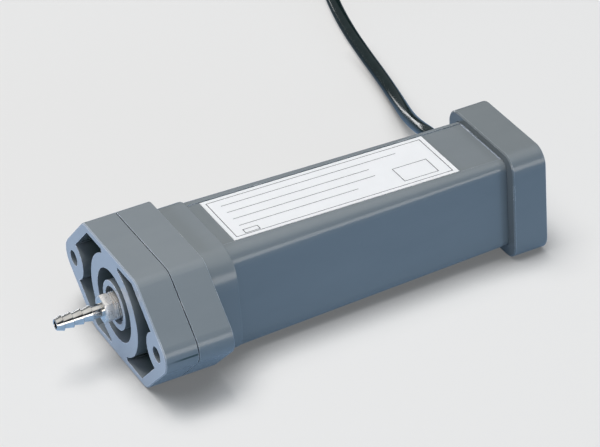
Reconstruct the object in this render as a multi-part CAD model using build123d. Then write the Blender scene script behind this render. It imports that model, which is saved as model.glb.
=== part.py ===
from build123d import *
import math
import os

# Barometric pressure sensor: a square moulded housing with a hexagonal two-screw flange,
# a hose barb at the front and a signal cable that leaves the rear cap.
# Millimetres. X runs from the hose barb to the rear cap, Y across the two screws, Z up.
# The origin lies under the middle of the sensor, on the surface that it rests on.
# "Depth" is a distance behind the port cover's front face, along X.

os.makedirs("parts", exist_ok=True)

# Case lengths
case_length = 120.0
port_reach = 16.7
cover_depth = 9.2
flange_depth = 19.3
collar_depth = 27.3
cap_length = 10.2

# Tapered body at the collar, and how much narrower and lower it is at the rear cap
body_front_width = 32.1
body_front_height = 30.9
body_front_radius = 4.8
body_width_taper = 4.7
body_height_taper = 3.9
body_radius_taper = 2.2
body_drop = 0.3
body_wall = 2.0
smallest_corner = 0.6
body_overlap = 5.0

# How far the collar, the flange and the rear cap stand out from what they go round
collar_side_step = 3.15
collar_top_step = 0.25
collar_radius = 9.0
flange_top_step = 0.95
cap_side_step = 3.7
cap_top_step = 2.7
cap_radius = 5.0
cap_edge = 0.6
cap_wall = 2.2
cap_clearance = 0.1
cap_chamber = 20.0

# Flange, seen from the front
flange_flat = 32.9
flange_corner = 4.5
flange_end_radius = 5.5
screw_spacing = 52.0
screw_hole = 4.5
boss_radius = 6.0
rim_wall = 1.9
slant_wall = 3.0
pocket_depth = 7.0
cover_edge = 0.35

# Rings of the port cover
ring_radius = 14.3
ring_bore = 10.3
ring_web = 10.0
recess_depth = 5.5
seat_radius = 6.9
seat_bore = 5.3
seat_depth = 1.5

# Gasket and spigot behind the port cover
gasket_thickness = 0.3
gasket_inset = 0.45
spigot_length = 3.0
spigot_wall = 1.6
spigot_clearance = 0.15

# Label and its recess
recess_width = 21.8
recess_sink = 0.3
label_length = 66.5
label_width = 21.0
label_start = 30.9
label_thickness = 0.2

# Hose barb fitting
fitting_bore = 1.1
barb_tip_radius = 1.55
barb_root_radius = 1.6
barb_crest_radius = 2.15
barb_first = 1.9
barb_pitch = 2.7
barb_count = 4
neck_radius = 1.75
hex_flats = 7.0
hex_front = 4.2
hex_chamfer = 0.4
groove_radius = 3.2
groove_width = 0.35
shoulder_radius = 4.0
washer_radius = 4.6
washer_thickness = 0.6
thread_radius = 2.5
hose_spigot_radius = 1.6
hose_spigot_length = 7.0

# Inner pressure line and pressure cell
hose_radius = 2.8
hose_gap = 1.0
cell_start = 34.0
cell_length = 16.0
cell_width = 15.0
cell_height = 7.0
cell_nipple = 7.0
cell_lid_thickness = 0.8
cell_lid_margin = 0.9
cell_pin_radius = 0.3
cell_pin_rows = 6.0
cell_pin_pitch = 3.0
cell_pins_per_row = 4

# Circuit board and the rails that hold it
board_start = 31.0
board_length = 74.0
board_width = 22.0
board_thickness = 1.6
board_drop = 4.65
board_clearance = 0.1
rail_reach = 1.2
rail_height = 1.5
rail_start = 29.0

# Parts on the board: start depth, length, width, height, place across
controller_place = (56.0, 10.0, 7.5, 1.6, 3.6)
controller_legs = 7
converter_place = (56.0, 5.0, 4.0, 1.5, -6.0)
transceiver_place = (80.0, 5.0, 4.0, 1.5, 5.0)
small_chip_legs = 4
chip_leg_pitch = 1.27
crystal_place = (70.0, 4.6, 10.2, 3.4, 4.5)
crystal_roundness = 0.45
capacitor_start = 67.5
capacitor_radius = 3.15
capacitor_height = 7.7
capacitor_y = -5.0

# Cable, gland and what the cable carries inside
cable_diameter = 4.0
exit_back = 6.0
exit_drop = 4.2
gland_barrel = 5.8
gland_flange = 7.4
gland_flange_depth = 1.2
gland_nose_length = 8.0
gland_nose_end = 5.0
gland_groove = 0.35
gland_grooves = 3
notch_clearance = 0.25
tie_band_width = 2.4
tie_band_wall = 0.9
cable_inner_reach = 7.0
core_diameter = 0.9
core_circle = 1.2
core_bend = 2.0
core_count = 5
plug_pitch = 2.5
plug_offset = -2.0
header_start = 92.0
header_depth = 7.0
header_height = 6.0
plug_depth = 5.0
plug_wall = 1.4
pin_width = 0.64
core_angles = [-36, 36, -108, 108, 180]

# Cable on the surface outside: route from the gland's tip, each point past the one at the tip
cable_route = [
    (0.0, 10.0, 0.0),
    (1.6, 21.0, -3.4),
    (5.0, 34.0, -7.6),
    (8.6, 47.0, -9.8),
    (11.2, 61.0, -10.0),
    (13.6, 77.0, -10.0),
    (16.6, 94.0, -10.0),
    (20.8, 111.0, -10.0),
    (26.4, 128.0, -10.0),
    (32.5, 144.6, -9.5),
]
run_share = 0.45

# Coil of the cable's unseen length
coil_radius = 23.0
coil_columns = 3
coil_layers = 4
coil_entry_angle = 159.5
coil_lift = 0.5
tail_angles = [134.0, 112.0, 92.0, 74.0, 56.0, 38.0, 20.0, 4.0]
tail_radii = [27.0, 30.0, 32.4, 33.2, 33.0, 32.8, 32.8, 32.6]
tail_levels = [14.5, 14.2, 11.0, 6.0, 2.9, 2.4, 2.4, 2.4]
strap_angle = -52.0
strap_width = 7.0
sleeve_wall = 0.4
sleeve_overlap = 7.0
sleeve_taper = 6.0
sleeve_end_radius = 1.9
lead_radius = 0.6
lead_offset = 0.9
lead_length = 32.0
lead_straight = 5.0
lead_turn_share = 0.42
lead_turn_fan = 0.6
lead_fan = 3.6
tinned_radius = 0.4
tinned_length = 6.0
lead_colours = ["brown", "white", "blue", "black", "grey"]

# Sizes worked out from those above
collar_width = body_front_width + 2 * collar_side_step
collar_height = body_front_height + 2 * collar_top_step
flange_height = collar_height + 2 * flange_top_step
body_rear_width = body_front_width - body_width_taper
body_rear_height = body_front_height - body_height_taper
cap_width = body_rear_width + 2 * cap_side_step
cap_height = body_rear_height + 2 * cap_top_step

# Places worked out from the sizes
case_axis = flange_height / 2
face_x = (port_reach - case_length) / 2
cap_depth = case_length - cap_length
body_end = cap_depth + body_overlap
body_axis = case_axis - body_drop
cap_axis = cap_height / 2
board_level = case_axis - board_drop
exit_level = cap_axis - exit_drop
housing_start = cover_depth + gasket_thickness


def x_at(depth):
    return face_x + depth


# Drawing plane across the case: local x is Y, local y is Z
def across(depth, level=case_axis):
    return Plane(origin=(x_at(depth), 0, level), x_dir=(0, 1, 0), z_dir=(1, 0, 0))


def slab(sketch, start, end, level=case_axis):
    return extrude(across(start, level) * sketch, amount=end - start)


def disc(radius, y=0.0):
    return Pos(y, 0) * Circle(radius)


def rod(radius, start, end):
    return slab(disc(radius), start, end)


def block(start, length, width, height, y, bottom):
    return Pos(x_at(start) + length / 2, y, bottom + height / 2) * Box(length, width, height)


# Hexagonal outline whose two ends are round about the screws
def flange_outline(flat, height, end_radius):
    middle = Rectangle(flat, height)
    left = disc(end_radius, -screw_spacing / 2)
    right = disc(end_radius, screw_spacing / 2)
    return make_hull(middle.edges() + left.edges() + right.edges())


def rounded_flange(inset=0.0):
    outline = flange_outline(flange_flat, flange_height, flange_end_radius)
    corners = outline.vertices().filter_by(lambda v: abs(v.Y) > flange_height / 2 - 0.01)
    outline = fillet(corners, flange_corner)
    if inset:
        outline = offset(outline, amount=-inset)
    return outline


# The hollow of the flange: thin wall above and below, thicker wall behind the slanted sides
def flange_hollow():
    corner_y = screw_spacing / 2 - flange_flat / 2
    corner_z = flange_height / 2
    reach = math.hypot(corner_y, corner_z)
    turn = math.atan2(corner_z, -corner_y) - math.acos(flange_end_radius / reach)
    normal_y = math.cos(turn)
    normal_z = math.sin(turn)
    narrowing = (slant_wall - normal_z * rim_wall) / normal_y
    flat = flange_flat - 2 * narrowing
    return flange_outline(flat, flange_height - 2 * rim_wall, flange_end_radius - slant_wall)


def both_screws(radius):
    return disc(radius, -screw_spacing / 2) + disc(radius, screw_spacing / 2)


# Width, height and corner radius of the tapered body at a depth
def body_section(depth, inset=0.0):
    share = (depth - collar_depth) / (cap_depth - collar_depth)
    width = body_front_width + (body_rear_width - body_front_width) * share
    height = body_front_height + (body_rear_height - body_front_height) * share
    radius = body_front_radius - body_radius_taper * share
    radius = max(radius - inset, smallest_corner)
    return RectangleRounded(width - 2 * inset, height - 2 * inset, radius)


def tapered_block(start, end, inset=0.0):
    first = across(start, body_axis) * body_section(start, inset)
    last = across(end, body_axis) * body_section(end, inset)
    return loft([first, last], ruled=True)


# Sloping plane on the body's top, local x towards the rear
body_slope = math.atan2(body_height_taper / 2, cap_depth - collar_depth)
top_plane = Plane(
    origin=(x_at(collar_depth), 0, body_axis + body_front_height / 2),
    x_dir=(math.cos(body_slope), 0, -math.sin(body_slope)),
    z_dir=(math.sin(body_slope), 0, math.cos(body_slope)),
)


# Cable exit in the far side of the rear cap
exit_x = x_at(case_length - exit_back)
exit_z = exit_level
gland_axis = Plane(origin=(exit_x, 0, exit_z), x_dir=(1, 0, 0), z_dir=(0, 1, 0))


def sideways_rod(radius, start_y, end_y):
    return extrude(gland_axis.offset(start_y) * Circle(radius), amount=end_y - start_y)


cap_side = cap_width / 2
gland_flange_end = body_rear_width / 2 + cap_clearance
gland_tip = cap_side + gland_nose_length


# Port cover: deep pockets beside a ring, a second ring around the fitting, a spigot behind
def make_port_cover():
    cover = slab(rounded_flange(), 0, cover_depth)
    cover = chamfer(cover.faces().sort_by(Axis.X)[0].outer_wire().edges(), cover_edge)
    pockets = flange_hollow() - disc(ring_radius) - both_screws(boss_radius)
    pockets -= Rectangle(ring_web, flange_height)
    cover -= slab(pockets, 0, pocket_depth)
    cover -= slab(disc(ring_bore) - disc(seat_radius), 0, recess_depth)
    cover -= rod(seat_bore, 0, seat_depth)
    cover -= rod(thread_radius, 0, cover_depth)
    cover -= slab(both_screws(screw_hole / 2), 0, cover_depth)
    spigot_end = housing_start + spigot_length
    outer = tapered_block(cover_depth, spigot_end, body_wall + spigot_clearance)
    inner = tapered_block(cover_depth, spigot_end, body_wall + spigot_clearance + spigot_wall)
    return cover + (outer - inner)


def make_cover_gasket():
    plate = slab(rounded_flange(gasket_inset), cover_depth, housing_start)
    plate -= tapered_block(cover_depth, housing_start, body_wall)
    return plate - slab(both_screws(screw_hole / 2 + gasket_inset), cover_depth, housing_start)


def make_rails():
    level = board_level - rail_height - board_clearance / 2
    upper = board_level + board_thickness + board_clearance / 2
    inner_y = board_width / 2 - rail_reach
    outer_y = body_front_width / 2
    rails = None
    for side in (-1, 1):
        for bottom in (level, upper):
            bar = block(
                rail_start,
                board_start + board_length - rail_start,
                outer_y - inner_y,
                rail_height,
                side * (inner_y + outer_y) / 2,
                bottom,
            )
            rails = bar if rails is None else rails + bar
        stop = block(
            rail_start,
            board_start + board_length - rail_start,
            outer_y - board_width / 2 - board_clearance,
            board_thickness + board_clearance,
            side * (board_width / 2 + board_clearance + outer_y) / 2,
            board_level - board_clearance / 2,
        )
        rails += stop
    return rails & tapered_block(rail_start, body_end, body_wall / 2)


# Housing: cored flange, rounded collar and tapered square tube in one moulding
def make_housing():
    flange = slab(rounded_flange(), housing_start, flange_depth)
    keep = RectangleRounded(collar_width, flange_height, collar_radius)
    cores = flange_hollow() - keep - both_screws(boss_radius)
    flange -= slab(cores, housing_start, flange_depth - rim_wall)
    collar = slab(RectangleRounded(collar_width, collar_height, collar_radius), flange_depth, collar_depth)
    collar = fillet(collar.faces().sort_by(Axis.X)[-1].outer_wire().edges(), cover_edge)
    housing = flange + collar + tapered_block(collar_depth, body_end)
    housing -= tapered_block(housing_start, body_end, body_wall)
    housing += make_rails()
    housing -= slab(both_screws(screw_hole / 2), housing_start, flange_depth)
    recess = top_plane * Pos((cap_depth - collar_depth) / 2, 0, 0) * Box(
        cap_depth - collar_depth, recess_width, 2 * recess_sink
    )
    housing -= recess
    notch = sideways_rod(gland_flange / 2 + notch_clearance, 0, cap_side)
    slot = Pos(exit_x + gland_flange / 2, cap_side / 2, exit_z) * Box(
        gland_flange, cap_side, gland_flange + 2 * notch_clearance
    )
    return housing - notch - slot


def make_end_cap():
    cap = slab(RectangleRounded(cap_width, cap_height, cap_radius), cap_depth, case_length, cap_axis)
    cap = fillet(cap.faces().sort_by(Axis.X)[-1].edges(), cap_edge)
    cap = chamfer(cap.faces().sort_by(Axis.X)[0].edges(), cover_edge)
    cap -= tapered_block(cap_depth, body_end, -cap_clearance)
    chamber = Rectangle(cap_chamber, cap_chamber)
    cap -= slab(chamber, body_end - cap_clearance, case_length - cap_wall, body_axis)
    cap -= sideways_rod(gland_flange / 2 + notch_clearance, 0, gland_flange_end)
    return cap - sideways_rod(gland_barrel / 2, 0, cap_side)


def make_label():
    sheet = Box(label_length, label_width, label_thickness)
    lift = label_thickness / 2 - recess_sink
    return top_plane * Pos(label_start - collar_depth + label_length / 2, 0, lift) * sheet


# Hose barb: ramps that rise from the tip and step down towards the hexagon
def make_fitting():
    points = [(0, fitting_bore), (0, barb_tip_radius)]
    for barb in range(barb_count):
        crest = barb_first + barb * barb_pitch
        points.append((crest, barb_crest_radius))
        points.append((crest, barb_root_radius if barb < barb_count - 1 else neck_radius))
    hex_start = port_reach - hex_front
    shoulder_end = port_reach + seat_depth - washer_thickness
    spigot_end = port_reach + cover_depth + hose_spigot_length
    points.append((hex_start, neck_radius))
    points.append((hex_start, groove_radius))
    points.append((port_reach - groove_width, groove_radius))
    points.append((port_reach, groove_radius))
    points.append((port_reach, shoulder_radius))
    points.append((shoulder_end, shoulder_radius))
    points.append((shoulder_end, thread_radius))
    points.append((port_reach + cover_depth, thread_radius))
    points.append((port_reach + cover_depth, hose_spigot_radius))
    points.append((spigot_end, hose_spigot_radius))
    points.append((spigot_end, fitting_bore))
    half = Plane(origin=(x_at(-port_reach), 0, case_axis), x_dir=(1, 0, 0), z_dir=(0, -1, 0))
    profile = half * make_face(Polyline(points, close=True))
    turned = revolve(profile, axis=Axis((0, 0, case_axis), (1, 0, 0)))
    corner_radius = hex_flats / math.sqrt(3)
    hexagon = Rot(0, 0, 30) * RegularPolygon(hex_flats / 2, 6, major_radius=False)
    nut = slab(hexagon, -hex_front, -groove_width)
    limit = rod(corner_radius, -hex_front, -groove_width)
    limit = chamfer(limit.edges().filter_by(GeomType.CIRCLE), hex_chamfer)
    nut = (nut & limit) - rod(neck_radius, -hex_front, -groove_width)
    return turned + nut


def make_washer():
    start = seat_depth - washer_thickness
    return rod(washer_radius, start, seat_depth) - rod(thread_radius, start, seat_depth)


def make_hose():
    start = cover_depth + hose_gap
    end = cell_start - hose_gap
    return rod(hose_radius, start, end) - rod(hose_spigot_radius, start, end)


board_top = board_level + board_thickness


def make_board():
    board = block(board_start, board_length, board_width, board_thickness, 0, board_level)
    for row in (-1, 1):
        for pin in range(cell_pins_per_row):
            board -= cell_pin(row, pin, board_level, board_top)
    return board


def cell_pin(row, pin, bottom, top):
    x = x_at(cell_start) + cell_length / 2 + (pin - (cell_pins_per_row - 1) / 2) * cell_pin_pitch
    height = top - bottom
    return Pos(x, row * cell_pin_rows, bottom + height / 2) * Cylinder(cell_pin_radius, height)


def make_cell_pins():
    bottom = board_level - board_thickness
    pins = [cell_pin(row, pin, bottom, board_top) for row in (-1, 1) for pin in range(cell_pins_per_row)]
    return Compound(children=pins)


def make_cell():
    body = block(cell_start, cell_length, cell_width, cell_height, 0, board_top)
    body = chamfer(body.edges().filter_by(Axis.Z), cell_lid_margin)
    body += rod(hose_spigot_radius, cell_start - cell_nipple, cell_start)
    return body - rod(fitting_bore, cell_start - cell_nipple, cell_start + cell_length / 2)


def make_cell_lid():
    length = cell_length - 2 * cell_lid_margin
    width = cell_width - 2 * cell_lid_margin
    lid = block(
        cell_start + cell_lid_margin, length, width, cell_lid_thickness, 0, board_top + cell_height
    )
    return fillet(lid.edges().filter_by(Axis.Z), 2 * cell_lid_margin)


# Chip body with rows of legs along its two long sides
def make_chip(place, legs):
    start, length, width, height, y = place
    body = block(start, length, width, height, y, board_top)
    body = chamfer(body.faces().sort_by(Axis.Z)[-1].edges(), height / 6)
    for side in (-1, 1):
        for leg in range(legs):
            x = start + length / 2 + (leg - (legs - 1) / 2) * chip_leg_pitch
            leg_start = x - chip_leg_pitch / 4
            leg_width = chip_leg_pitch / 2
            foot_y = y + side * (width + height) / 2
            riser_y = y + side * (width / 2 + height / 8)
            foot = block(leg_start, leg_width, height, height / 8, foot_y, board_top)
            riser = block(leg_start, leg_width, height / 4, height / 2, riser_y, board_top)
            body += foot + riser
    return body


def make_crystal():
    start, length, width, height, y = crystal_place
    can = block(start, length, width, height, y, board_top)
    return fillet(can.edges().filter_by(Axis.Z), crystal_roundness * min(length, width))


# Can on a square base with a groove between them
def make_capacitor():
    x = x_at(capacitor_start) + capacitor_radius
    side = 2 * capacitor_radius
    base_height = capacitor_height / 7
    base = Pos(x, capacitor_y, board_top + base_height / 2) * Box(side, side, base_height)
    base = chamfer(base.edges().filter_by(Axis.Z).sort_by(Axis.Y)[:2], capacitor_radius / 3)
    can_height = capacitor_height - base_height
    can = Cylinder(capacitor_radius - 2 * board_clearance, can_height)
    can = fillet(can.edges().filter_by(GeomType.CIRCLE).sort_by(Axis.Z)[-1], cap_edge)
    return base + Pos(x, capacitor_y, board_top + base_height + can_height / 2) * can


pin_ys = [plug_offset + (index - (core_count - 1) / 2) * plug_pitch for index in range(core_count)]
header_width = core_count * plug_pitch + 2 * plug_wall


def make_header():
    shroud = block(header_start, header_depth, header_width, header_height, plug_offset, board_top)
    room = block(
        header_start + plug_wall,
        header_depth,
        header_width - 2 * plug_wall,
        header_height - 2 * plug_wall,
        plug_offset,
        board_top + plug_wall,
    )
    shroud -= room
    for y in pin_ys:
        level = board_top + header_height / 2
        pin = Pos(x_at(header_start) + header_depth / 2, y, level) * Box(
            header_depth - plug_wall, pin_width, pin_width
        )
        shroud += pin
    return shroud


def make_plug():
    level = board_top + plug_wall
    plug = block(
        header_start + header_depth - plug_depth / 2,
        plug_depth,
        header_width - 2 * plug_wall - 2 * board_clearance,
        header_height - 2 * plug_wall - 2 * board_clearance,
        plug_offset,
        level + board_clearance,
    )
    socket_end = header_start + header_depth - plug_wall / 2 + board_clearance
    socket_start = header_start + header_depth - plug_depth / 2
    for y in pin_ys:
        socket = block(
            socket_start,
            socket_end - socket_start,
            core_diameter,
            core_diameter,
            y,
            board_top + header_height / 2 - core_diameter / 2,
        )
        plug -= socket
    return plug


# Five cores bend from the cable's inner end to the plug
def make_cores():
    plug_back = x_at(header_start + header_depth + plug_depth / 2)
    cores = []
    for y, angle in zip(pin_ys, core_angles):
        x = exit_x + core_circle * math.cos(math.radians(angle))
        z = exit_z + core_circle * math.sin(math.radians(angle))
        start = (x, cable_inner_reach, z)
        bend = (x, y, z)
        level = board_top + header_height / 2
        entry = (plug_back + 2 * core_diameter, y, level)
        path = FilletPolyline(start, bend, entry, (plug_back, y, level), radius=[core_bend, core_diameter])
        ring = Plane(origin=path @ 0, z_dir=path % 0) * Circle(core_diameter / 2)
        cores.append(sweep(ring, path=path))
    return Compound(children=cores)


def make_gland():
    inner = sideways_rod(gland_flange / 2, gland_flange_end - gland_flange_depth, gland_flange_end)
    barrel = sideways_rod(gland_barrel / 2, gland_flange_end, cap_side)
    shoulder = sideways_rod(gland_flange / 2, cap_side, cap_side + gland_flange_depth)
    nose_start = cap_side + gland_flange_depth
    wide = gland_axis.offset(nose_start) * Circle(gland_barrel / 2)
    narrow = gland_axis.offset(gland_tip) * Circle(gland_nose_end / 2)
    gland = inner + barrel + shoulder + loft([wide, narrow])
    step = (gland_tip - nose_start) / (gland_grooves + 1)
    for groove in range(1, gland_grooves + 1):
        y = nose_start + groove * step
        cut = sideways_rod(gland_barrel, y - step / 6, y + step / 6)
        cut -= sideways_rod(gland_nose_end / 2 - gland_groove / 2, y - step / 6, y + step / 6)
        gland -= cut
    return gland - sideways_rod(cable_diameter / 2, 0, gland_tip)


def make_cable_inner():
    return sideways_rod(cable_diameter / 2, cable_inner_reach, gland_tip)


def make_strain_band():
    end = gland_flange_end - gland_flange_depth
    start = end - tie_band_width
    band = sideways_rod(cable_diameter / 2 + tie_band_wall, start, end)
    head = Pos(exit_x, (start + end) / 2, exit_z - cable_diameter / 2 - tie_band_wall) * Box(
        tie_band_width, tie_band_width, 2 * tie_band_wall
    )
    return band + head - sideways_rod(cable_diameter / 2, start, end)


# Round tube along straight runs joined by arcs as large as the runs allow
def tube_along(points, radius, name):
    runs = [b - a for a, b in zip(points[:-1], points[1:])]
    radii = []
    for before, after in zip(runs[:-1], runs[1:]):
        half_turn = math.radians(before.get_angle(after)) / 2
        radii.append(run_share * min(before.length, after.length) / math.tan(half_turn))
    path = FilletPolyline(*points, radius=radii)
    ring = Plane(origin=path @ 0, z_dir=path % 0) * Circle(radius)
    tube = sweep(ring, path=path)
    expected = math.pi * radius**2 * path.length
    print(name, "length", round(path.length, 1), "volume share", round(tube.volume / expected, 5))
    print(name, "radii", [round(value, 1) for value in radii])
    return tube


cable_points = [Vector(exit_x + x, gland_tip + y, exit_z + z) for x, y, z in cable_route]
cable_points.insert(0, Vector(exit_x, gland_tip, exit_z))
coil_outer = coil_radius + coil_columns * cable_diameter / 2
coil_inner = coil_radius - coil_columns * cable_diameter / 2
coil_top = coil_lift + coil_layers * cable_diameter
outer_turn = coil_outer - cable_diameter / 2
entry = math.radians(coil_entry_angle)
coil_x = cable_points[-1].X - outer_turn * math.cos(entry)
coil_y = cable_points[-1].Y - outer_turn * math.sin(entry)


def coil_place(angle, radius, level):
    turn = math.radians(angle)
    return Vector(coil_x + radius * math.cos(turn), coil_y + radius * math.sin(turn), level)


def make_tail():
    points = [coil_place(*place) for place in zip(tail_angles, tail_radii, tail_levels)]
    return points, tube_along(points, cable_diameter / 2, "cable_tail")


def make_strap():
    thickness = coil_lift
    height = coil_top + thickness
    reach = coil_outer - coil_inner
    frame = Box(reach + 2 * thickness, strap_width, height)
    hole = Box(reach, strap_width, coil_top - coil_lift)
    place = Pos(coil_x, coil_y, height / 2) * Rot(0, 0, strap_angle) * Pos(coil_radius, 0, 0)
    return place * (frame - hole)


# The outer shape of all the turns, with channels for what enters, leaves and ties them
def make_coil(pieces):
    height = coil_top - coil_lift
    ring = Cylinder(coil_outer, height) - Cylinder(coil_inner, height)
    ring = Pos(coil_x, coil_y, coil_lift + height / 2) * ring
    for piece in pieces:
        ring -= piece
    return ring


cable = tube_along(cable_points, cable_diameter / 2, "cable")
tail_points, cable_tail = make_tail()
strap = make_strap()

# The sleeve and the leads go on in the tail's direction
tail_end = tail_points[-1]
tail_way = (tail_points[-1] - tail_points[-2]).normalized()
tail_side = Vector(-tail_way.Y, tail_way.X, 0).normalized()
tail_up = tail_way.cross(tail_side)
if tail_up.Z < 0:
    tail_up = -tail_up
sleeve_end = tail_end + tail_way * sleeve_taper


def round_at(start, way, radius):
    return Plane(origin=start, z_dir=way) * Circle(radius)


def make_sleeve():
    wide = cable_diameter / 2 + sleeve_wall
    overlap = extrude(round_at(tail_end, tail_way, wide), amount=-sleeve_overlap)
    taper = loft([round_at(tail_end, tail_way, wide), round_at(sleeve_end, tail_way, sleeve_end_radius)])
    return overlap + taper - cable_tail


# Five leads leave the sleeve in a quincunx and fan out on the surface
lead_starts = [(-1, -1), (-1, 1), (0, 0), (1, 1), (1, -1)]


def lead_points(index):
    across_share, up_share = lead_starts[index]
    place = index - (core_count - 1) / 2
    start = sleeve_end + tail_side * (across_share * lead_offset) + tail_up * (up_share * lead_offset)
    straight = start + tail_way * lead_straight
    turn = start + tail_way * (lead_length * lead_turn_share) + tail_side * (place * lead_fan * lead_turn_fan)
    end = start + tail_way * lead_length + tail_side * (place * lead_fan)
    turn = Vector(turn.X, turn.Y, 1.5 * lead_radius)
    return [start, straight, turn, Vector(end.X, end.Y, lead_radius)]


def make_tinned_end(index):
    points = lead_points(index)
    way = (points[-1] - points[-2]).normalized()
    return extrude(round_at(points[-1], way, tinned_radius), amount=tinned_length)


nodes = {
    "port_cover": make_port_cover(),
    "cover_gasket": make_cover_gasket(),
    "housing": make_housing(),
    "end_cap": make_end_cap(),
    "label_plate": make_label(),
    "port_fitting": make_fitting(),
    "fitting_washer": make_washer(),
    "inner_hose": make_hose(),
    "circuit_board": make_board(),
    "pressure_cell": make_cell(),
    "cell_lid": make_cell_lid(),
    "cell_pins": make_cell_pins(),
    "controller_chip": make_chip(controller_place, controller_legs),
    "converter_chip": make_chip(converter_place, small_chip_legs),
    "transceiver_chip": make_chip(transceiver_place, small_chip_legs),
    "crystal_can": make_crystal(),
    "reservoir_can": make_capacitor(),
    "board_header": make_header(),
    "wire_plug": make_plug(),
    "core_wires": make_cores(),
    "cable_gland": make_gland(),
    "cable_inner": make_cable_inner(),
    "strain_band": make_strain_band(),
    "cable": cable,
    "cable_tail": cable_tail,
    "cable_coil": make_coil([cable, cable_tail, strap]),
    "coil_strap": strap,
}

nodes["cable_sleeve"] = make_sleeve()
for index, colour in enumerate(lead_colours):
    nodes[f"lead_{colour}"] = tube_along(lead_points(index), lead_radius, f"lead_{colour}")
nodes["tinned_ends"] = Compound(children=[make_tinned_end(index) for index in range(core_count)])

for name, solid in nodes.items():
    export_step(solid, f"parts/{name}.step")
    print(name, "solids", len(solid.solids()), "volume", round(solid.volume, 1))
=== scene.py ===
import bpy
import math
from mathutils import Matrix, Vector


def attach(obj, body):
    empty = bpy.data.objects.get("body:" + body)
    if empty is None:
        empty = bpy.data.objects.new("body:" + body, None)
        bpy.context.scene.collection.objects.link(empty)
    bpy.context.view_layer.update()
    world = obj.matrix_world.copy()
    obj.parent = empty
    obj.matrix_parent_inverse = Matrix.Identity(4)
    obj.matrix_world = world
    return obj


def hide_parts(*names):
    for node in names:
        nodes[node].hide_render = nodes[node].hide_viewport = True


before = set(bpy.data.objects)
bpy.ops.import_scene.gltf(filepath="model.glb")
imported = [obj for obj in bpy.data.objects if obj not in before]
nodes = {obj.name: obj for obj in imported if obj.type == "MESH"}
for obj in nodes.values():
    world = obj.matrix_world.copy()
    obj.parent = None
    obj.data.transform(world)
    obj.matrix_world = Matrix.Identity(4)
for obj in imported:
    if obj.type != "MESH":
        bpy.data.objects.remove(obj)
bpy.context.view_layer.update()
print("frame loaded:", len(nodes), "nodes")

bpy.context.scene.view_settings.view_transform = "Standard"


def clearSelection():
    if bpy.context.object and bpy.context.object.mode != "OBJECT":
        bpy.ops.object.mode_set(mode="OBJECT")
    bpy.ops.object.select_all(action="DESELECT")


def selectOnly(piece):
    clearSelection()
    piece.select_set(True)
    bpy.context.view_layer.objects.active = piece


def settle(piece):  # puts the piece's place into its mesh
    selectOnly(piece)
    bpy.ops.object.transform_apply(location=True, rotation=True, scale=True)


# camera, at the photograph's angle
cameraView = {
    "place": (-0.28567, -0.62017, 0.46575),
    "turn": (57.000, 3.504, -27.231),
    "lens": 185.18,
    "sensor": 36.0,
}
clearSelection()
bpy.ops.object.camera_add(location=cameraView["place"],
                          rotation=[math.radians(angle) for angle in cameraView["turn"]])
camera = bpy.context.object
camera.name = "photoCamera"
camera.data.lens = cameraView["lens"]
camera.data.sensor_width = cameraView["sensor"]
camera.data.clip_start = 0.01
bpy.context.scene.camera = camera
print("camera placed")


# materials
def newMaterial(name, **sockets):
    material = bpy.data.materials.new(name)
    material.use_nodes = True
    tree = material.node_tree
    shader = tree.nodes["Principled BSDF"]
    for socket, value in sockets.items():
        shader.inputs[socket.replace("_", " ")].default_value = value
    place = tree.nodes.new("ShaderNodeTexCoord").outputs["Object"]
    return material, tree, shader, place


def noise(tree, vector, scale, detail=3.0, roughness=0.5):
    node = tree.nodes.new("ShaderNodeTexNoise")
    node.inputs["Scale"].default_value = scale
    node.inputs["Detail"].default_value = detail
    node.inputs["Roughness"].default_value = roughness
    tree.links.new(vector, node.inputs["Vector"])
    return node.outputs["Fac"]


def stretch(tree, vector, scale, turn=(0, 0, 0)):
    node = tree.nodes.new("ShaderNodeMapping")
    node.inputs["Scale"].default_value = scale
    node.inputs["Rotation"].default_value = turn
    tree.links.new(vector, node.inputs["Vector"])
    return node.outputs["Vector"]


def ramp(tree, factor, low, high, start=0.35, end=0.65):
    node = tree.nodes.new("ShaderNodeValToRGB")
    node.color_ramp.elements[0].position = start
    node.color_ramp.elements[1].position = end
    node.color_ramp.elements[0].color = (*low, 1.0)
    node.color_ramp.elements[1].color = (*high, 1.0)
    tree.links.new(factor, node.inputs["Fac"])
    return node.outputs["Color"]


def mapRange(tree, value, low, high, fromLow=0.3, fromHigh=0.7):
    node = tree.nodes.new("ShaderNodeMapRange")
    for socket, number in zip(("From Min", "From Max", "To Min", "To Max"), (fromLow, fromHigh, low, high)):
        node.inputs[socket].default_value = number
    tree.links.new(value, node.inputs["Value"])
    return node.outputs["Result"]


def mathNode(tree, operation, first, second=None):
    node = tree.nodes.new("ShaderNodeMath")
    node.operation = operation
    for socket, value in zip(node.inputs, (first, second)):
        if value is None:
            continue
        if isinstance(value, (int, float)):
            socket.default_value = value
        else:
            tree.links.new(value, socket)
    return node.outputs["Value"]


def mixColour(tree, factor, first, second):
    node = tree.nodes.new("ShaderNodeMix")
    node.data_type = "RGBA"
    for socket, value in ((node.inputs["Factor"], factor), (node.inputs[6], first), (node.inputs[7], second)):
        if isinstance(value, tuple):
            socket.default_value = (*value, 1.0)
        else:
            tree.links.new(value, socket)
    return node.outputs[2]


def bump(tree, height, depth, strength=1.0, normal=None):
    node = tree.nodes.new("ShaderNodeBump")
    node.inputs["Strength"].default_value = strength
    node.inputs["Distance"].default_value = depth
    tree.links.new(height, node.inputs["Height"])
    if normal is not None:
        tree.links.new(normal, node.inputs["Normal"])
    return node.outputs["Normal"]


def roundEdges(tree, radius):
    node = tree.nodes.new("ShaderNodeBevel")
    node.samples = 6
    node.inputs["Radius"].default_value = radius
    return node.outputs["Normal"]


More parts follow.
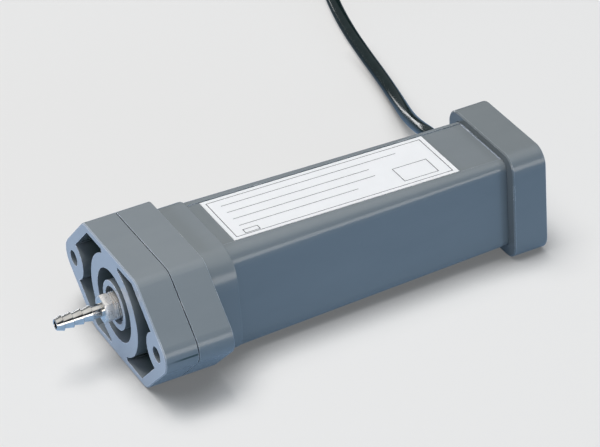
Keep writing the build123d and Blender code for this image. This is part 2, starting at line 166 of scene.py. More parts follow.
def axesOf(tree, vector):
    node = tree.nodes.new("ShaderNodeSeparateXYZ")
    tree.links.new(vector, node.inputs["Vector"])
    return node.outputs


def wearAndSheenMask(tree, rounded, sharp=0.86, flat=0.995):  # 0 on flats, 1 on edges
    geometry = tree.nodes.new("ShaderNodeNewGeometry")
    dot = tree.nodes.new("ShaderNodeVectorMath")
    dot.operation = "DOT_PRODUCT"
    tree.links.new(rounded, dot.inputs[0])
    tree.links.new(geometry.outputs["Normal"], dot.inputs[1])
    return mapRange(tree, dot.outputs["Value"], 1.0, 0.0, sharp, flat)


# Moulded blue-grey case plastic: spark grain, faint flow marks, pale edges with a few nicks; the pale edges and
# near-white nicks are partly wear and partly painted highlight
caseFinish = {
    "low": (0.205, 0.228, 0.238),
    "high": (0.222, 0.245, 0.254),
    "edge": (0.62, 0.67, 0.73),
    "nickAndGlint": (0.90, 0.91, 0.92),
    "edgeRadius": 0.00022,
    "grain": 2600,
    "grainDepth": 0.00002,
    "grainStrength": 0.35,
    "flow": 55,
    "flowStretch": (0.35, 1.0, 1.0),
    "wearAndSheen": (0.45, 1.0),  # share of the edge colour, least and most
    "nickAndGlintScale": 210,
    "nickAndGlintLimits": (0.66, 0.69),
    "roughness": (0.16, 0.22),
}

# Painted shade in the cover's hollows: inside its rim the plastic darkens to a dark green with depth
hollowShadePaint = {
    "colour": (0.026, 0.050, 0.044),
    "strength": 0.85,
    "face": -0.05165,
    "axis": 0.01665,
    "depths": (0.0004, 0.0052),  # behind the cover's face, where it starts and is full
    "flat": 0.0156,  # half height inside the rim's level walls
    "slant": (0.689, 0.725, 0.0219),  # direction across and up, and distance of the sloping walls
}


def hollowShadeMask(tree, place):
    axes = axesOf(tree, place)
    start, end = (hollowShadePaint["face"] + depth for depth in hollowShadePaint["depths"])
    depth = mapRange(tree, axes["X"], 0.0, hollowShadePaint["strength"], start, end)
    across = mathNode(tree, "ABSOLUTE", axes["Y"])
    up = mathNode(tree, "ABSOLUTE", mathNode(tree, "SUBTRACT", axes["Z"], hollowShadePaint["axis"]))
    slantY, slantZ, limit = hollowShadePaint["slant"]
    slant = mathNode(tree, "ADD", mathNode(tree, "MULTIPLY", across, slantY),
                     mathNode(tree, "MULTIPLY", up, slantZ))
    inside = mathNode(tree, "MULTIPLY", mathNode(tree, "LESS_THAN", up, hollowShadePaint["flat"]),
                      mathNode(tree, "LESS_THAN", slant, limit))
    return mathNode(tree, "MULTIPLY", depth, inside)


def makeCasePlastic(name, shadeHollows=False):
    material, tree, shader, place = newMaterial(name, IOR=1.5)
    drawnOut = stretch(tree, place, caseFinish["flowStretch"])
    flow = noise(tree, drawnOut, caseFinish["flow"], detail=4.0, roughness=0.55)
    grain = noise(tree, place, caseFinish["grain"], detail=2.0, roughness=0.6)
    rounded = roundEdges(tree, caseFinish["edgeRadius"])
    edges = wearAndSheenMask(tree, rounded)
    wearAndSheen = mathNode(tree, "MULTIPLY", edges, mapRange(tree, flow, *caseFinish["wearAndSheen"]))
    speckle = noise(tree, place, caseFinish["nickAndGlintScale"], detail=1.0, roughness=0.4)
    chipsAndGlints = mapRange(tree, speckle, 0.0, 1.0, *caseFinish["nickAndGlintLimits"])
    nicksAndGlints = mathNode(tree, "MULTIPLY", edges, chipsAndGlints)
    colour = ramp(tree, flow, caseFinish["low"], caseFinish["high"])
    # painted shade: the hollows turn dark green with depth behind the cover's face, up to 85 %
    if shadeHollows:
        colour = mixColour(tree, hollowShadeMask(tree, place), colour, hollowShadePaint["colour"])
    # partly wear and partly painted highlight: a pale band within about 0.2 mm of every edge
    colour = mixColour(tree, wearAndSheen, colour, caseFinish["edge"])
    # near-white nicks on the edges, partly chips and partly painted glints
    tree.links.new(mixColour(tree, nicksAndGlints, colour, caseFinish["nickAndGlint"]), shader.inputs["Base Color"])
    tree.links.new(mapRange(tree, flow, *caseFinish["roughness"]), shader.inputs["Roughness"])
    relief = bump(tree, grain, caseFinish["grainDepth"], caseFinish["grainStrength"], rounded)
    tree.links.new(relief, shader.inputs["Normal"])
    return material


rubberFinish = {"low": (0.012, 0.012, 0.013), "high": (0.022, 0.022, 0.024), "scale": 900,
                "roughness": 0.62, "depth": 0.00003, "strength": 0.5, "edgeRadius": 0.0002}


def makeBlackRubber():
    material, tree, shader, place = newMaterial("blackRubber", Roughness=rubberFinish["roughness"], IOR=1.5)
    dust = noise(tree, place, rubberFinish["scale"], detail=4.0, roughness=0.6)
    tree.links.new(ramp(tree, dust, rubberFinish["low"], rubberFinish["high"]), shader.inputs["Base Color"])
    rounded = roundEdges(tree, rubberFinish["edgeRadius"])
    relief = bump(tree, dust, rubberFinish["depth"], rubberFinish["strength"], rounded)
    tree.links.new(relief, shader.inputs["Normal"])
    return material


# White printable film with an empty form printed on it: a frame, ruled lines and two fields
labelFinish = {
    "film": (0.93, 0.93, 0.935),
    "filmLight": (0.95, 0.95, 0.955),
    "cloud": 220,
    "ripple": 60,
    "rippleStretch": (1.0, 0.4, 1.0),
    "rippleDepth": 0.00004,
    "print": (0.05, 0.05, 0.055),
    "middle": (0.01245, 0.0),
    "size": (0.0665, 0.021),
    "border": 0.0012,
    "line": 0.00022,
    "ruleStart": -0.0290,
    "ruleEnds": (0.0230, 0.0130, 0.0130, 0.0060),
    "ruleLevels": (0.0062, 0.0026, -0.0010, -0.0046),
    "fields": ((-0.0270, -0.0078, 0.0022, 0.0010),  # middle along and across, half length, half width
               (0.0235, -0.0040, 0.0052, 0.0036)),
}


def makeLabelFilm():
    material, tree, shader, place = newMaterial("labelFilm", Roughness=0.38, IOR=1.46)
    axes = axesOf(tree, place)
    along = mathNode(tree, "SUBTRACT", axes["X"], labelFinish["middle"][0])
    across = mathNode(tree, "SUBTRACT", axes["Y"], labelFinish["middle"][1])

    def inside(value, middle, half):
        offset = mathNode(tree, "ABSOLUTE", mathNode(tree, "SUBTRACT", value, middle))
        return mathNode(tree, "LESS_THAN", offset, half)

    def rectangle(x, y, halfLength, halfWidth):
        return mathNode(tree, "MULTIPLY", inside(along, x, halfLength), inside(across, y, halfWidth))

    marks = None
    for level, end in zip(labelFinish["ruleLevels"], labelFinish["ruleEnds"]):
        start = labelFinish["ruleStart"]
        rule = rectangle((start + end) / 2, level, (end - start) / 2, labelFinish["line"] / 2)
        marks = rule if marks is None else mathNode(tree, "MAXIMUM", marks, rule)
    halves = [side / 2 - labelFinish["border"] for side in labelFinish["size"]]
    for x, y, halfLength, halfWidth in ((0.0, 0.0, *halves), *labelFinish["fields"]):
        outer = rectangle(x, y, halfLength, halfWidth)
        inner = rectangle(x, y, halfLength - labelFinish["line"], halfWidth - labelFinish["line"])
        marks = mathNode(tree, "MAXIMUM", marks, mathNode(tree, "SUBTRACT", outer, inner))
    cloud = noise(tree, place, labelFinish["cloud"])
    film = ramp(tree, cloud, labelFinish["film"], labelFinish["filmLight"])
    tree.links.new(mixColour(tree, marks, film, labelFinish["print"]), shader.inputs["Base Color"])
    drawnOut = stretch(tree, place, labelFinish["rippleStretch"])
    ripple = noise(tree, drawnOut, labelFinish["ripple"], detail=2.0)
    tree.links.new(bump(tree, ripple, labelFinish["rippleDepth"], strength=0.3), shader.inputs["Normal"])
    return material


# Bright turned nickel on the barbs, satin on the hexagon and shoulder, which reach further from the axis
nickelFinish = {
    "low": (0.60, 0.58, 0.55),
    "high": (0.74, 0.73, 0.70),
    "scale": 500,
    "turning": 5200,
    "turningStretch": (1.0, 0.03, 0.03),
    "turningDepth": 0.000006,
    "turningStrength": 0.3,
    "edgeRadius": 0.00008,
    "roughness": (0.06, 0.11),
    "axis": 0.01665,
    "satinFrom": (0.0024, 0.0030),  # distance from the axis, where it starts and is full
    "satin": (0.86, 0.82, 0.78),
    "satinMetal": 0.55,
    "satinRoughness": 0.20,
}


def makeNickelPlate():
    material, tree, shader, place = newMaterial("nickelPlate")
    cloud = noise(tree, place, nickelFinish["scale"], detail=4.0, roughness=0.6)
    drawnOut = stretch(tree, place, nickelFinish["turningStretch"])
    turning = noise(tree, drawnOut, nickelFinish["turning"], detail=2.0)
    axes = axesOf(tree, place)
    across = axes["Y"]
    up = mathNode(tree, "SUBTRACT", axes["Z"], nickelFinish["axis"])
    squares = mathNode(tree, "ADD", mathNode(tree, "MULTIPLY", up, up),
                       mathNode(tree, "MULTIPLY", across, across))
    satin = mapRange(tree, mathNode(tree, "SQRT", squares), 0.0, 1.0, *nickelFinish["satinFrom"])
    bright = ramp(tree, cloud, nickelFinish["low"], nickelFinish["high"])
    tree.links.new(mixColour(tree, satin, bright, nickelFinish["satin"]), shader.inputs["Base Color"])
    metal = mapRange(tree, satin, 1.0, nickelFinish["satinMetal"], 0.0, 1.0)
    tree.links.new(metal, shader.inputs["Metallic"])
    polished = mapRange(tree, cloud, *nickelFinish["roughness"])
    duller = mathNode(tree, "MULTIPLY", satin, nickelFinish["satinRoughness"])
    tree.links.new(mathNode(tree, "ADD", polished, duller), shader.inputs["Roughness"])
    ridges = mathNode(tree, "MULTIPLY", turning, mapRange(tree, satin, 1.0, 0.0, 0.0, 1.0))
    rounded = roundEdges(tree, nickelFinish["edgeRadius"])
    relief = bump(tree, ridges, nickelFinish["turningDepth"], nickelFinish["turningStrength"], rounded)
    tree.links.new(relief, shader.inputs["Normal"])
    return material


def makePlainMetal(name, colour, roughness, scale, spread=1.12, edge=0.0001):
    material, tree, shader, place = newMaterial(name, Metallic=1.0)
    grain = noise(tree, stretch(tree, place, (1.0, 0.1, 1.0)), scale, roughness=0.6)
    lighter = tuple(min(1.0, channel * spread) for channel in colour)
    tree.links.new(ramp(tree, grain, colour, lighter), shader.inputs["Base Color"])
    tree.links.new(mapRange(tree, grain, roughness * 0.8, roughness * 1.2), shader.inputs["Roughness"])
    relief = bump(tree, grain, 0.00001, strength=0.3, normal=roundEdges(tree, edge))
    tree.links.new(relief, shader.inputs["Normal"])
    return material


def makeMoulded(name, colour, roughness, scale=600, spread=1.15, edge=0.00015, **sockets):
    material, tree, shader, place = newMaterial(name, **sockets)
    cloud = noise(tree, place, scale, roughness=0.55)
    lighter = tuple(min(1.0, channel * spread) for channel in colour)
    tree.links.new(ramp(tree, cloud, colour, lighter), shader.inputs["Base Color"])
    tree.links.new(mapRange(tree, cloud, roughness * 0.9, roughness * 1.1), shader.inputs["Roughness"])
    relief = bump(tree, cloud, 0.00002, strength=0.25, normal=roundEdges(tree, edge))
    tree.links.new(relief, shader.inputs["Normal"])
    return material


boardFinish = {"low": (0.006, 0.075, 0.025), "high": (0.010, 0.105, 0.036), "trackPitch": 0.0012,
               "trackLimits": (0.05, 0.12), "trackDepth": 0.00003}


def makeBoardLaminate():
    material, tree, shader, place = newMaterial("boardLaminate", Roughness=0.3, Coat_Weight=0.4)
    cell = tree.nodes.new("ShaderNodeTexVoronoi")
    cell.feature = "DISTANCE_TO_EDGE"
    cell.inputs["Scale"].default_value = 1 / boardFinish["trackPitch"] / 2
    tree.links.new(stretch(tree, place, (1.0, 1.0, 0.01)), cell.inputs["Vector"])
    tracks = mapRange(tree, cell.outputs["Distance"], 1.0, 0.0, *boardFinish["trackLimits"])
    colour = mixColour(tree, tracks, boardFinish["low"], boardFinish["high"])
    tree.links.new(colour, shader.inputs["Base Color"])
    tree.links.new(bump(tree, tracks, boardFinish["trackDepth"], strength=0.5), shader.inputs["Normal"])
    return material


# Smooth dark cable jacket: glossy, a little uneven where the cores press through
jacketFinish = {"low": (0.006, 0.014, 0.014), "high": (0.010, 0.021, 0.021), "roughness": (0.12, 0.20),
                "smear": 260, "waves": 120, "waveDepth": 0.0002}


def makeCableJacket():
    material, tree, shader, place = newMaterial("cableJacket", IOR=1.5, Specular_IOR_Level=0.4)
    smear = noise(tree, place, jacketFinish["smear"], detail=4.0, roughness=0.6)
    waves = noise(tree, place, jacketFinish["waves"], detail=2.0)
    tree.links.new(ramp(tree, smear, jacketFinish["low"], jacketFinish["high"]), shader.inputs["Base Color"])
    tree.links.new(mapRange(tree, smear, *jacketFinish["roughness"]), shader.inputs["Roughness"])
    tree.links.new(bump(tree, waves, jacketFinish["waveDepth"], strength=0.5), shader.inputs["Normal"])
    return material


# Woven strap: two crossed waves make the weave
weaveFinish = {"low": (0.008, 0.008, 0.009), "high": (0.035, 0.035, 0.037), "limits": (0.1, 0.8),
               "scale": 420, "distortion": 0.6, "depth": 0.00012}


def makeStrapWeave():
    material, tree, shader, place = newMaterial("strapWeave", Roughness=0.85, Sheen_Weight=0.3)
    threads = None
    for turn in (0.0, math.pi / 2):
        wave = tree.nodes.new("ShaderNodeTexWave")
        wave.inputs["Scale"].default_value = weaveFinish["scale"]
        wave.inputs["Distortion"].default_value = weaveFinish["distortion"]
        tree.links.new(stretch(tree, place, (1.0, 1.0, 1.0), (0, turn, turn)), wave.inputs["Vector"])
        thread = wave.outputs["Fac"]
        threads = thread if threads is None else mathNode(tree, "MULTIPLY", threads, thread)
    colour = ramp(tree, threads, weaveFinish["low"], weaveFinish["high"], *weaveFinish["limits"])
    tree.links.new(colour, shader.inputs["Base Color"])
    tree.links.new(bump(tree, threads, weaveFinish["depth"], strength=0.6), shader.inputs["Normal"])
    return material


casePlastic = makeCasePlastic("casePlastic")
blackRubber = makeBlackRubber()
cableJacket = makeCableJacket()
nickelPlate = makeNickelPlate()
darkMoulding = makeMoulded("darkMoulding", (0.012, 0.012, 0.013), 0.55)
stampedSteel = makePlainMetal("stampedSteel", (0.52, 0.52, 0.51), 0.34, 1400)
solderTin = makePlainMetal("solderTin", (0.62, 0.62, 0.60), 0.30, 1800)
connectorNylon = makeMoulded("connectorNylon", (0.70, 0.66, 0.56), 0.5, Subsurface_Weight=0.15)
leadColours = {
    "lead_brown": (0.060, 0.022, 0.009),
    "lead_white": (0.72, 0.72, 0.69),
    "lead_blue": (0.010, 0.050, 0.30),
    "lead_black": (0.012, 0.012, 0.012),
    "lead_grey": (0.19, 0.20, 0.21),
}
leadPlastic = {name: makeMoulded(name.replace("_", "Plastic_"), colour, 0.32)
               for name, colour in leadColours.items()}
nodeMaterials = {
    "port_cover": makeCasePlastic("coverPlasticShadedHollows", shadeHollows=True),
    "housing": casePlastic,
    "end_cap": casePlastic,
    "cover_gasket": blackRubber,
    "fitting_washer": blackRubber,
    "cable_gland": blackRubber,
    "label_plate": makeLabelFilm(),
    "port_fitting": nickelPlate,
    "inner_hose": makeMoulded("siliconeTube", (0.55, 0.56, 0.56), 0.4, Subsurface_Weight=0.3),
    "circuit_board": makeBoardLaminate(),
    "pressure_cell": darkMoulding,
    "controller_chip": darkMoulding,
    "converter_chip": darkMoulding,
    "transceiver_chip": darkMoulding,
    "cell_lid": stampedSteel,
    "crystal_can": stampedSteel,
    "reservoir_can": makePlainMetal("drawnAluminium", (0.70, 0.71, 0.73), 0.28, 900),
    "cell_pins": solderTin,
    "tinned_ends": solderTin,
    "board_header": connectorNylon,
    "wire_plug": connectorNylon,
    "core_wires": leadPlastic["lead_white"],
    "cable_inner": cableJacket,
    "strain_band": darkMoulding,
    "cable_sleeve": makeMoulded("shrinkSleeve", (0.010, 0.010, 0.011), 0.42, scale=300, spread=1.3),
}
for name, material in nodeMaterials.items():
    nodes[name].data.materials.clear()
    nodes[name].data.materials.append(material)
print("materials made:", len(bpy.data.materials))


# cords
cable = {
    "radius": 0.002,
    "length": 1.82,
    "route": [
        (0.06235, 0.02540, 0.01200), (0.06235, 0.03540, 0.01200), (0.06395, 0.04640, 0.00860),
        (0.06735, 0.05940, 0.00440), (0.07095, 0.07240, 0.00220), (0.07355, 0.08640, 0.00200),
        (0.07595, 0.10240, 0.00200), (0.07895, 0.11940, 0.00200), (0.08315, 0.13640, 0.00200),
        (0.08875, 0.15340, 0.00200), (0.09485, 0.17000, 0.00250),
    ],
    "tail": [
        (0.10138, 0.17997, 0.01450), (0.10890, 0.18836, 0.01420), (0.11901, 0.19292, 0.01100),
        (0.12929, 0.19246, 0.00600), (0.13859, 0.18790, 0.00290), (0.14599, 0.18074, 0.00240),
        (0.15096, 0.17176, 0.00240), (0.15266, 0.16282, 0.00240),
    ],
    "coilCentre": (0.12014, 0.16054),
    "coilEntry": 159.5,  # where the first turn starts, in degrees
    "coilTurn": 385.5,  # degrees in the last turn
    "pointsPerTurn": 24,
    "lastGap": 0.4,
    "firstStep": 48,  # degrees into the turn where the cable steps to its next place
    "stepLength": 34,
    "columns": (0.019, 0.023, 0.027),
    "levels": (0.0025, 0.0065, 0.0105, 0.0145),
}


def layCord(name, points, radius, material, ring=6, steps=6):  # one smooth curve along the route
    curve = bpy.data.curves.new(name, "CURVE")
    curve.dimensions = "3D"
    spline = curve.splines.new("NURBS")
    spline.points.add(len(points) - 1)
    for place, point in zip(spline.points, points):
        place.co = (*point, 1.0)
    spline.order_u = 3
    spline.use_endpoint_u = True
    spline.resolution_u = steps
    curve.bevel_depth = radius
    curve.bevel_resolution = ring
    curve.use_fill_caps = True
    curve.materials.append(material)
    piece = bpy.data.objects.new(name, curve)
    bpy.context.scene.collection.objects.link(piece)
    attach(piece, "root")
    return piece


def coilPlaces():  # radius and level of each turn, wound to and fro, layer on layer
    places = []
    for layer, level in enumerate(cable["levels"]):
        columns = cable["columns"] if layer % 2 else cable["columns"][::-1]
        places += [(column, level) for column in columns]
    return places


def coilPoints():
    places = coilPlaces()
    steps = len(places) - 1
    inLayer = len(cable["columns"])
    order = []  # where in its turn each step lies: the upper layers step over first
    for step in range(steps):
        layersAbove = len(cable["levels"]) - 1 - step // inLayer
        order.append(2 * layersAbove - (1 if step % inLayer == inLayer - 1 else 0))
    total = 360 * (steps - 1) + cable["coilTurn"]
    spacing = 360 / cable["pointsPerTurn"]
    swell = 0.75 + 0.25 * math.cos(math.radians(spacing))  # the curve runs inside its control points
    points = []
    turned = spacing
    while turned < total - spacing * cable["lastGap"]:
        turn = int(turned // 360)
        start = cable["firstStep"] + cable["stepLength"] * order[turn] if turn < steps else 360
        share = min(1.0, max(0.0, (turned % 360 - start) / cable["stepLength"]))
        share = share * share * (3 - 2 * share)
        here = Vector(places[turn])
        after = Vector(places[min(turn + 1, steps)])
        radius, level = here.lerp(after, share)
        angle = math.radians(cable["coilEntry"] - turned)
        x = cable["coilCentre"][0] + radius / swell * math.cos(angle)
        y = cable["coilCentre"][1] + radius / swell * math.sin(angle)
        points.append((x, y, level))
        turned += spacing
    return points


cableRoute = cable["route"] + coilPoints() + cable["tail"]
sensorCable = layCord("sensorCable", cableRoute, cable["radius"], cableJacket)
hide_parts("cable", "cable_coil", "cable_tail")

leads = {
    "radius": 0.0006,
    "length": 0.0325,
    "routes": {
        "lead_brown": [(0.15290, 0.15676, 0.00150), (0.15383, 0.15184, 0.00150),
                       (0.15116, 0.14275, 0.00090), (0.15179, 0.12397, 0.00060)],
        "lead_white": [(0.15290, 0.15676, 0.00330), (0.15383, 0.15184, 0.00330),
                       (0.15328, 0.14315, 0.00090), (0.15533, 0.12465, 0.00060)],
        "lead_blue": [(0.15378, 0.15692, 0.00240), (0.15471, 0.15201, 0.00240),
                      (0.15629, 0.14372, 0.00090), (0.15975, 0.12549, 0.00060)],
        "lead_black": [(0.15466, 0.15709, 0.00330), (0.15560, 0.15218, 0.00330),
                       (0.15929, 0.14429, 0.00090), (0.16417, 0.12633, 0.00060)],
        "lead_grey": [(0.15466, 0.15709, 0.00150), (0.15560, 0.15218, 0.00150),
                      (0.16142, 0.14469, 0.00090), (0.16771, 0.12700, 0.00060)],
    },
}
for name, route in leads["routes"].items():
    colourName = name.removeprefix("lead_").capitalize()
    lead = layCord("wire" + colourName, route, leads["radius"], leadPlastic[name], ring=4, steps=8)
    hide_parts(name)
print("cords laid")


# strap round the coil
strap = {
    "angle": -52,
    "middle": 0.023,
    "reach": 0.012,
    "height": 0.016,
    "base": 0.0005,
    "width": 0.007,
    "thickness": 0.00045,
    "corner": 0.0021,
    "fineEdge": 0.00012,
    "tabMiddle": 0.0005,
    "tabLength": 0.0085,
    "tabWidth": 0.98,  # as a share of the strap's width
    "tabGap": 0.00002,
    "tabLift": 0.0016,
    "tabFlat": 0.1,
}


def makeStrap():
    top = strap["base"] + strap["height"]
    clearSelection()
    bpy.ops.mesh.primitive_cube_add(size=1, location=(0, 0, strap["base"] + strap["height"] / 2))
    band = bpy.context.object
    band.scale = (strap["reach"], strap["width"], strap["height"])
    settle(band)
    mesh = band.data
    bpy.ops.object.mode_set(mode="EDIT")
    bpy.ops.mesh.select_all(action="DESELECT")
    bpy.ops.mesh.select_mode(type="FACE")
    bpy.ops.object.mode_set(mode="OBJECT")
    for face in mesh.polygons:
        face.select = abs(face.normal.y) > 0.9
    bpy.ops.object.mode_set(mode="EDIT")
    bpy.ops.mesh.delete(type="ONLY_FACE")
    bpy.ops.mesh.select_mode(type="EDGE")
    bpy.ops.mesh.select_all(action="DESELECT")
    bpy.ops.object.mode_set(mode="OBJECT")
    for edge in mesh.edges:
        first, second = (mesh.vertices[index].co for index in edge.vertices)
        edge.select = abs(first.y - second.y) > strap["width"] / 2
    bpy.ops.object.mode_set(mode="EDIT")
    bpy.ops.mesh.bevel(offset=strap["corner"], segments=5, affect="EDGES")
    bpy.ops.object.mode_set(mode="OBJECT")
    solid = band.modifiers.new("wall", "SOLIDIFY")
    solid.thickness = strap["thickness"]
    solid.offset = 1.0
    bpy.ops.object.modifier_apply(modifier="wall")
    clearSelection()
    tabLevel = top + 1.5 * strap["thickness"] + strap["tabGap"]
    bpy.ops.mesh.primitive_cube_add(size=1, location=(strap["tabMiddle"], 0, tabLevel))
    tab = bpy.context.object
    tab.scale = (strap["tabLength"], strap["width"] * strap["tabWidth"], strap["thickness"])
    settle(tab)
    bpy.ops.object.mode_set(mode="EDIT")
    bpy.ops.mesh.subdivide(number_cuts=6)
    bpy.ops.object.mode_set(mode="OBJECT")
    for vertex in tab.data.vertices:  # the free end lifts a little
        lift = max(0.0, (vertex.co.x - strap["tabMiddle"]) / strap["tabLength"] - strap["tabFlat"])
        vertex.co.z += strap["tabLift"] * lift * lift
    tab.select_set(True)
    band.select_set(True)
    bpy.context.view_layer.objects.active = band
    bpy.ops.object.join()
    edges = band.modifiers.new("edges", "BEVEL")
    edges.width = strap["fineEdge"]
    edges.segments = 2
    edges.limit_method = "ANGLE"
    bpy.ops.object.modifier_apply(modifier="edges")
    band.name = "coilStrap"
    band.location = (strap["middle"], 0, 0)
    settle(band)
    band.rotation_euler = (0, 0, math.radians(strap["angle"]))
    band.location = (*cable["coilCentre"], 0)
    settle(band)
    bpy.ops.object.shade_smooth_by_angle(angle=math.radians(35))
    band.data.materials.append(makeStrapWeave())
    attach(band, "root")
    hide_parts("coil_strap")
    return band


coilStrap = makeStrap()


# hose barb fitting: turned body, hexagon and the thin plates behind it
fitting = {
    "axis": 0.01665,
    "tip": -0.06835,
    "sides": 64,
    "bore": 0.0011,
    "profile": [  # distance behind the tip and radius, along the outside
        (0.00000, 0.00142), (0.00012, 0.00155), (0.00175, 0.00210), (0.00184, 0.00215), (0.00194, 0.00209),
        (0.00197, 0.00160), (0.00444, 0.00210), (0.00454, 0.00215), (0.00464, 0.00209), (0.00467, 0.00160),
        (0.00714, 0.00210), (0.00724, 0.00215), (0.00734, 0.00209), (0.00737, 0.00160), (0.00984, 0.00210),
        (0.00994, 0.00215), (0.01004, 0.00209), (0.01007, 0.00178), (0.01300, 0.00182), (0.01302, 0.00325),
        (0.01776, 0.00325), (0.01778, 0.00396), (0.01834, 0.00400), (0.01838, 0.00250), (0.02300, 0.00250),
        (0.02302, 0.00160), (0.02978, 0.00160), (0.02990, 0.00148),
    ],
    "hexPlates": ((0.01300, 0.01550), (0.01576, 0.01608), (0.01634, 0.01666), (0.01692, 0.01768)),  # start, end
    "hexFlats": 0.0070,
    "hexTurn": 17,
    "hexChamfer": 0.00040,
    "fineBevel": 0.00005,
    "boreEdge": 0.00008,
    "boreDepth": 0.00010,
    "merge": 0.000002,
}


def turnedRings():  # one ring of edges drawn out step by step along the profile, then back through the bore
    steps = [(0.0, fitting["bore"] + fitting["boreEdge"]), *fitting["profile"]]
    steps += [(steps[-1][0], fitting["bore"]), (fitting["boreDepth"], fitting["bore"]), steps[0]]
    start = fitting["tip"] + steps[0][0]
    bpy.ops.mesh.primitive_circle_add(vertices=fitting["sides"], radius=steps[0][1], fill_type="NOTHING",
                                      location=(start, 0, fitting["axis"]), rotation=(0, math.pi / 2, 0))
    body = bpy.context.object
    settle(body)
    bpy.ops.object.mode_set(mode="EDIT")
    bpy.ops.mesh.select_all(action="SELECT")
    for before, after in zip(steps, steps[1:]):
        bpy.ops.mesh.extrude_region_move(TRANSFORM_OT_translate={"value": (after[0] - before[0], 0, 0)})
        size = after[1] / before[1]
        bpy.ops.transform.resize(value=(1, size, size))
    bpy.ops.mesh.select_all(action="SELECT")
    bpy.ops.mesh.remove_doubles(threshold=fitting["merge"])
    bpy.ops.mesh.normals_make_consistent(inside=False)
    bpy.ops.object.mode_set(mode="OBJECT")
    return body


def hexPlate(start, end, chamfer):  # a slice of the hexagon with its corners turned down
    corner = fitting["hexFlats"] / math.sqrt(3)
    clearSelection()
    bpy.ops.mesh.primitive_cylinder_add(vertices=6, radius=corner, depth=end - start)
    plate = bpy.context.object
    plate.rotation_euler = (0, math.pi / 2, 0)
    settle(plate)
    plate.rotation_euler = (math.radians(fitting["hexTurn"]), 0, 0)
    settle(plate)
    clearSelection()
    bpy.ops.mesh.primitive_cylinder_add(vertices=96, radius=corner, depth=end - start,
                                        rotation=(0, math.pi / 2, 0))
    limit = bpy.context.object
    settle(limit)
    rims = limit.modifiers.new("rims", "BEVEL")
    rims.width = chamfer
    rims.segments = 1
    rims.limit_method = "ANGLE"
    rims.angle_limit = math.radians(60)
    bpy.ops.object.modifier_apply(modifier="rims")
    selectOnly(plate)
    cut = plate.modifiers.new("cut", "BOOLEAN")
    cut.operation = "INTERSECT"
    cut.object = limit
    bpy.ops.object.modifier_apply(modifier="cut")
    edges = plate.modifiers.new("edges", "BEVEL")
    edges.width = fitting["fineBevel"]
    edges.segments = 2
    edges.limit_method = "ANGLE"
    edges.angle_limit = math.radians(20)
    bpy.ops.object.modifier_apply(modifier="edges")
    plate.location = (fitting["tip"] + (start + end) / 2, 0, fitting["axis"])
    settle(plate)
    bpy.data.objects.remove(limit)
    return plate


def makeFitting():
    clearSelection()
    body = turnedRings()
    plates = [hexPlate(*fitting["hexPlates"][0], fitting["hexChamfer"])]
    plates += [hexPlate(*ends, fitting["fineBevel"]) for ends in fitting["hexPlates"][1:]]
    clearSelection()
    for plate in plates:
        plate.select_set(True)
    body.select_set(True)
    bpy.context.view_layer.objects.active = body
    bpy.ops.object.join()
    body.name = "barbFitting"
    bpy.ops.object.shade_smooth_by_angle(angle=math.radians(25))
    body.data.materials.append(nickelPlate)
    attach(body, "root")
    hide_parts("port_fitting")


makeFitting()
print("fitting made")


# floor and light
floor = {
    "size": 8.0,
    "seen": (0.505, 0.499, 0.490),  # colour for the camera
    "cloud": 1.01,
    "cloudScale": 2.0,
    "glow": (0.325, 0.326, 0.326),  # light of its own for the camera, away from contact
    "bounced": (0.36, 0.46, 0.60),  # colour for light that it throws back
    "mirrored": (0.34, 0.52, 0.78),  # what gloss shows of it: in front, behind and close to the case, darker there as painted shadow
    "mirroredBack": (0.13, 0.17, 0.21),
    "mirroredNear": (0.12, 0.18, 0.26),
    "contact": (0.40, 1.0),  # share of the pale colour right beside the case and away from it; the drop beside the case is painted contact shadow
    "contactReach": 0.015,
    "contactLimits": (0.35, 0.85),
    "nearLimits": (0.35, 0.95),
    "behind": (0.05, 0.11),  # from here on back there is no painted contact shadow
}


def makePaleTable():  # pale for the camera, bluer for light thrown back at the case and for its gloss
    material, tree, shader, place = newMaterial("paleTable", Roughness=0.8, Specular_IOR_Level=0.1)
    nothing = (0.0, 0.0, 0.0)
    path = tree.nodes.new("ShaderNodeLightPath")
    seen = mathNode(tree, "MAXIMUM", path.outputs["Is Camera Ray"], path.outputs["Is Transmission Ray"])
    # painted contact shadow: an ambient occlusion mask within 15 mm of the case takes up to 60 % of the floor's
    # colour and glow away, and darkens what gloss shows of the floor; real shadow from the lamps adds to it
    contact = tree.nodes.new("ShaderNodeAmbientOcclusion")
    contact.inputs["Distance"].default_value = floor["contactReach"]
    behind = mapRange(tree, axesOf(tree, place)["Y"], 0.0, 1.0, *floor["behind"])
    unshaded = mapRange(tree, contact.outputs["AO"], *floor["contact"], *floor["contactLimits"])
    share = mathNode(tree, "MAXIMUM", unshaded, behind)
    lighter = tuple(channel * floor["cloud"] for channel in floor["seen"])
    cloud = ramp(tree, noise(tree, place, floor["cloudScale"], detail=2.0), floor["seen"], lighter)
    lit = mixColour(tree, share, nothing, cloud)
    unseen = mixColour(tree, path.outputs["Is Glossy Ray"], floor["bounced"], nothing)
    tree.links.new(mixColour(tree, seen, unseen, lit), shader.inputs["Base Color"])
    glow = mixColour(tree, share, nothing, floor["glow"])
    away = mapRange(tree, contact.outputs["AO"], 0.0, 1.0, *floor["nearLimits"])
    mirrored = mixColour(tree, away, floor["mirroredNear"], floor["mirrored"])
    mirrored = mixColour(tree, behind, mirrored, floor["mirroredBack"])
    tree.links.new(mixColour(tree, seen, mirrored, glow), shader.inputs["Emission Color"])
    shown = mathNode(tree, "MAXIMUM", seen, path.outputs["Is Glossy Ray"])
    tree.links.new(shown, shader.inputs["Emission Strength"])
    return material


clearSelection()
bpy.ops.mesh.primitive_plane_add(size=floor["size"], location=(0, 0, 0))
studioFloor = bpy.context.object
studioFloor.name = "studioFloor"
studioFloor.data.materials.append(makePaleTable())

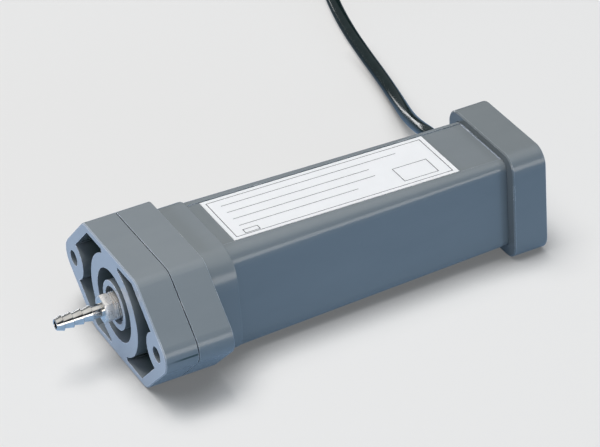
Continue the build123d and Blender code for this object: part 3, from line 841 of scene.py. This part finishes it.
lampAim = (0, 0.02, 0.015)
lamps = {
    "topSoftbox": {"place": (-0.30, 0.26, 2.08), "size": (1.4, 1.1), "power": 40.0,
                   "colour": (0.985, 0.965, 0.95)},
    "leftSoftbox": {"place": (-0.50, 0.08, 0.10), "size": (0.35, 0.14), "power": 2.6,
                    "colour": (0.88, 0.93, 1.14), "lights": ("port_cover", "housing")},
    "frontSoftbox": {"place": (0.75, -1.10, 1.60), "size": (0.8, 0.8), "power": 0.9,
                     "colour": (0.80, 0.92, 1.1)},
    "lowSoftbox": {"place": (0.35, -1.80, 0.30), "size": (1.6, 0.34), "power": 9.0,
                   "colour": (0.70, 0.92, 1.18)},
}
for name, lamp in lamps.items():
    clearSelection()
    aim = Vector(lampAim) - Vector(lamp["place"])
    bpy.ops.object.light_add(type="AREA", location=lamp["place"],
                             rotation=aim.to_track_quat("-Z", "Y").to_euler())
    light = bpy.context.object
    light.name = name
    light.data.shape = "RECTANGLE"
    light.data.size, light.data.size_y = lamp["size"]
    light.data.energy = lamp["power"]
    light.data.color = lamp["colour"]
    light.visible_glossy = False  # the room below is what the gloss shows
    if "lights" in lamp:  # the near lamp is for the moulded front alone
        receivers = bpy.data.collections.new("litBy_" + name)
        for node in lamp["lights"]:
            receivers.objects.link(nodes[node])
        light.light_linking.receiver_collection = receivers

room = {
    "fill": (0.115, 0.142, 0.165),
    "seen": (0.79, 0.79, 0.78),
    "ceiling": (0.88, 0.88, 0.87),
    "horizon": (2.9, 2.8, 2.7),
    "backHorizon": (6.0, 6.0, 6.0),
    "shade": (0.04, 0.05, 0.06),
    "backWall": (0.26, 0.28, 0.30),
    "frontFrom": (-0.25, 0.0),  # the front half of the room blends into the back half here
    "horizonTop": (0.05, 0.12),
    "horizonRise": 0.29,  # the bright band stands this much higher in front
    "openingMiddle": -0.03,
    "openingSide": (0.22, 0.27),
    "ceilingFrom": (0.76, 0.86),
}


def makePaleRoom():  # for the gloss: ceiling, bright band and shade in front, dim wall with an opening behind
    world = bpy.data.worlds.new("paleRoom")
    bpy.context.scene.world = world
    world.use_nodes = True
    tree = world.node_tree
    axes = axesOf(tree, tree.nodes.new("ShaderNodeTexCoord").outputs["Generated"])
    up = axes["Z"]
    front = mapRange(tree, axes["Y"], 1.0, 0.0, *room["frontFrom"])
    walls = mixColour(tree, front, room["backWall"], room["shade"])
    lower = mathNode(tree, "SUBTRACT", up, mathNode(tree, "MULTIPLY", front, room["horizonRise"]))
    horizon = mapRange(tree, lower, 1.0, 0.0, *room["horizonTop"])
    aside = mathNode(tree, "ABSOLUTE", mathNode(tree, "SUBTRACT", axes["X"], room["openingMiddle"]))
    inOpening = mapRange(tree, aside, 1.0, 0.0, *room["openingSide"])
    opening = mixColour(tree, inOpening, room["backWall"], room["backHorizon"])
    bright = mixColour(tree, front, opening, room["horizon"])
    colour = mixColour(tree, horizon, walls, bright)
    overhead = mapRange(tree, up, 0.0, 1.0, *room["ceilingFrom"])
    colour = mixColour(tree, overhead, colour, room["ceiling"])
    path = tree.nodes.new("ShaderNodeLightPath")
    plain = mixColour(tree, path.outputs["Is Camera Ray"], room["fill"], room["seen"])
    shown = mixColour(tree, path.outputs["Is Glossy Ray"], plain, colour)
    tree.links.new(shown, tree.nodes["Background"].inputs["Color"])


makePaleRoom()
print("floor and light set")

bpy.context.view_layer.update()
